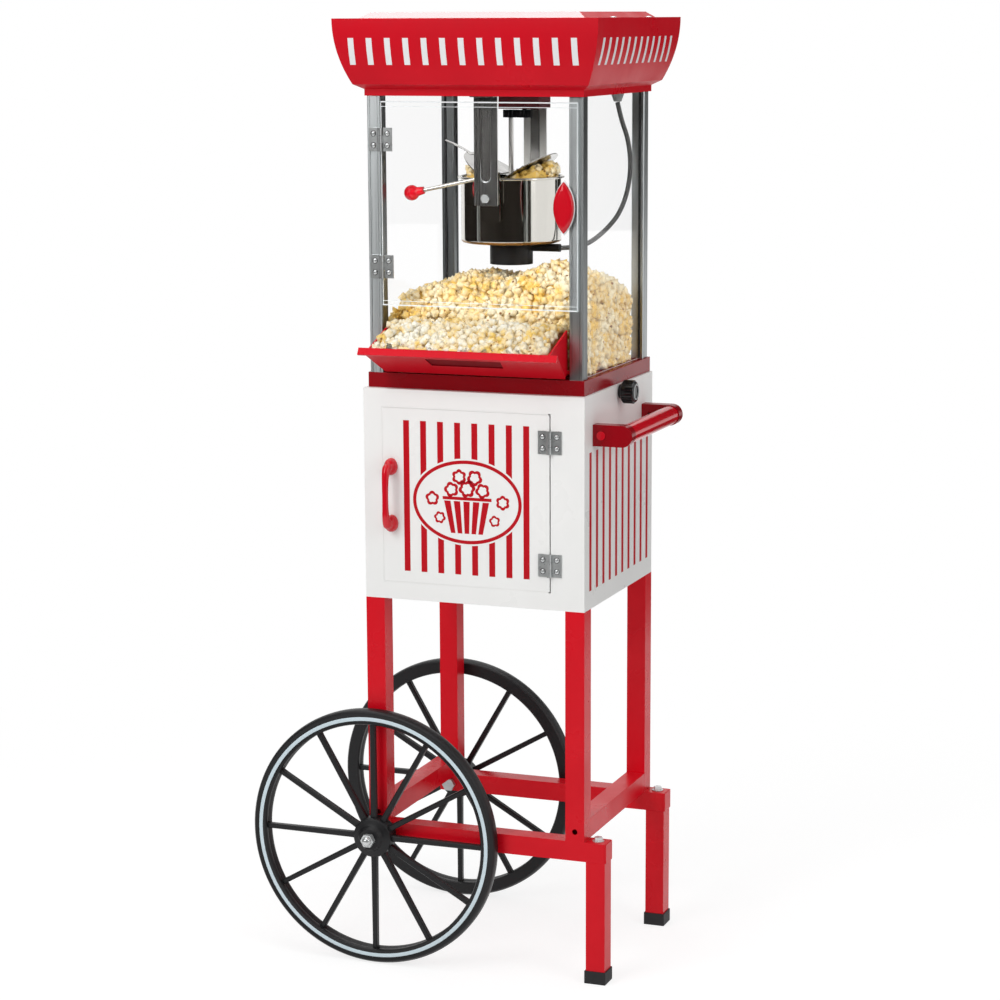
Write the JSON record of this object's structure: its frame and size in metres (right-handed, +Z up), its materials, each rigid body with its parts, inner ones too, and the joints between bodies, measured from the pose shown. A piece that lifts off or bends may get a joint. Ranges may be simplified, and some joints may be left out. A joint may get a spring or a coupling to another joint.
{
  "type": "popcorn cart",
  "caption": "Popcorn cart: a glazed popping machine with tipping kettle and flared canopy on a striped cabinet, with tube legs, spoked wheels, feet and a push bar.",
  "frame": {"origin": "on the floor, under the middle of the whole cart's bounding box", "axes": "+Z up, +X to the right towards the push bar, front with the doors and tray towards -Y"},
  "size_m": [0.5048, 0.3752, 1.2191],
  "materials": {
    "red_steel": "gloss red powder coat",
    "white_steel": "satin white powder coat",
    "red_plastic": "gloss red moulding",
    "black_plastic": "satin black moulding",
    "black_rubber": "matt black rubber",
    "zinc": "zinc plated steel",
    "aluminium": "satin extruded aluminium",
    "acrylic": "clear polished acrylic sheet",
    "mirror_steel": "polished stainless steel",
    "brushed_steel": "brushed stainless steel",
    "dark_red_plastic": "dark red moulding",
    "motor_grey": "dull grey motor case",
    "cord_grey": "dark grey flexible cord"
  },
  "bodies": {
    "cart": {"front_side_frame": "red_steel", "rear_side_frame": "red_steel", "crossbars": "red_steel", "foot_legs": "red_steel", "foot_caps": "black_rubber", "rail_end_plugs": "black_plastic", "cart_bolts": "zinc", "wheel_axles": "zinc", "axle_nuts": "zinc", "cabinet_front_panel": "white_steel", "cabinet_left_panel": "white_steel", "cabinet_right_panel": "white_steel", "cabinet_rear_panel": "white_steel", "cabinet_floor": "white_steel", "cabinet_top": "white_steel", "fixed_hinge_leaves": "zinc", "fixed_hinge_screws": "zinc", "hinge_pins": "zinc", "magnetic_catch": "black_plastic", "handle_brackets": "red_plastic", "push_bar": "red_plastic", "base_pan": "red_plastic", "left_front_post": "aluminium", "right_front_post": "aluminium", "rear_posts": "aluminium", "left_window": "acrylic", "right_window": "acrylic", "rear_window": "acrylic", "canopy": "red_plastic", "ceiling_plate": "brushed_steel", "motor_cover": "dark_red_plastic", "agitator_motor": "motor_grey", "kettle_hangers": "brushed_steel", "pivot_bolts": "zinc", "kettle_cord": "cord_grey", "cord_socket": "black_plastic", "cord_gland": "black_plastic"},
    "front_wheel": {"front_wheel": "black_plastic"},
    "rear_wheel": {"rear_wheel": "black_plastic"},
    "cabinet_door": {"cabinet_door": "white_steel", "door_pull": "red_plastic", "door_hinge_leaves": "zinc", "door_hinge_screws": "zinc"},
    "window_door": {"window_door": "acrylic", "window_grip": "red_plastic", "window_hinge_leaves": "zinc", "window_hinge_screws": "zinc"},
    "serving_tray": {"serving_tray": "red_plastic"},
    "clamp_knob": {"clamp_knob": "black_plastic"},
    "kettle": {"kettle": "mirror_steel", "kettle_base": "black_plastic", "heating_element": "brushed_steel", "kettle_handle": "brushed_steel", "handle_ball": "red_plastic"},
    "left_lid": {"left_lid": "brushed_steel"},
    "right_lid": {"right_lid": "brushed_steel"},
    "agitator": {"agitator": "brushed_steel", "agitator_gear": "black_plastic"},
    "motor_pinion": {"motor_pinion": "black_plastic"},
    "power_switch": {"power_switch": "black_plastic"}
  },
  "joints": [
    {"name": "front_wheel_spin", "type": "hinge", "parent": "cart", "child": "front_wheel", "pos_m": [-0.0824, -0.14617, 0.17], "axis": [0, 1, 0], "continuous": true},
    {"name": "rear_wheel_spin", "type": "hinge", "parent": "cart", "child": "rear_wheel", "pos_m": [-0.0824, 0.15663, 0.17], "axis": [0, 1, 0], "continuous": true},
    {"name": "cabinet_door_swing", "type": "hinge", "parent": "cart", "child": "cabinet_door", "pos_m": [0.15565, -0.13477, 0.619], "axis": [0, 0, 1], "range_deg": [0, 120]},
    {"name": "window_door_swing", "type": "hinge", "parent": "cart", "child": "window_door", "pos_m": [-0.0704, -0.12577, 0.985], "axis": [0, 0, -1], "range_deg": [0, 110]},
    {"name": "serving_tray_tilt", "type": "hinge", "parent": "cart", "child": "serving_tray", "pos_m": [0.0529, -0.11317, 0.7825], "axis": [1, 0, 0], "range_deg": [-60, 0]},
    {"name": "clamp_knob_turn", "type": "hinge", "parent": "cart", "child": "clamp_knob", "pos_m": [0.205, 0.00523, 0.745], "axis": [1, 0, 0], "range_deg": [0, 360]},
    {"name": "kettle_tip", "type": "hinge", "parent": "cart", "child": "kettle", "pos_m": [0.0529, 0.00963, 0.9911], "axis": [0, -1, 0], "range_deg": [0, 95], "deforming": ["kettle_cord"]},
    {"name": "left_lid_flap", "type": "hinge", "parent": "kettle", "child": "left_lid", "pos_m": [0.0404, 0.00963, 1.0165], "axis": [0, 1, 0], "range_deg": [-32, 25]},
    {"name": "right_lid_flap", "type": "hinge", "parent": "kettle", "child": "right_lid", "pos_m": [0.0654, 0.00963, 1.0165], "axis": [0, -1, 0], "range_deg": [-32, 25]},
    {"name": "agitator_spin", "type": "hinge", "parent": "kettle", "child": "agitator", "pos_m": [0.0529, 0.00963, 1.015], "axis": [0, 0, 1], "continuous": true},
    {"name": "motor_pinion_spin", "type": "hinge", "parent": "cart", "child": "motor_pinion", "pos_m": [0.0713, 0.00963, 1.11], "axis": [0, 0, 1], "continuous": true},
    {"name": "power_switch_rock", "type": "hinge", "parent": "cart", "child": "power_switch", "pos_m": [0.0749, 0.17103, 1.1701], "axis": [1, 0, 0], "range_deg": [0, 16]}
  ],
  "couplings": [
    {"joint": "motor_pinion_spin", "follows": "agitator_spin", "ratio": -1}
  ]
}
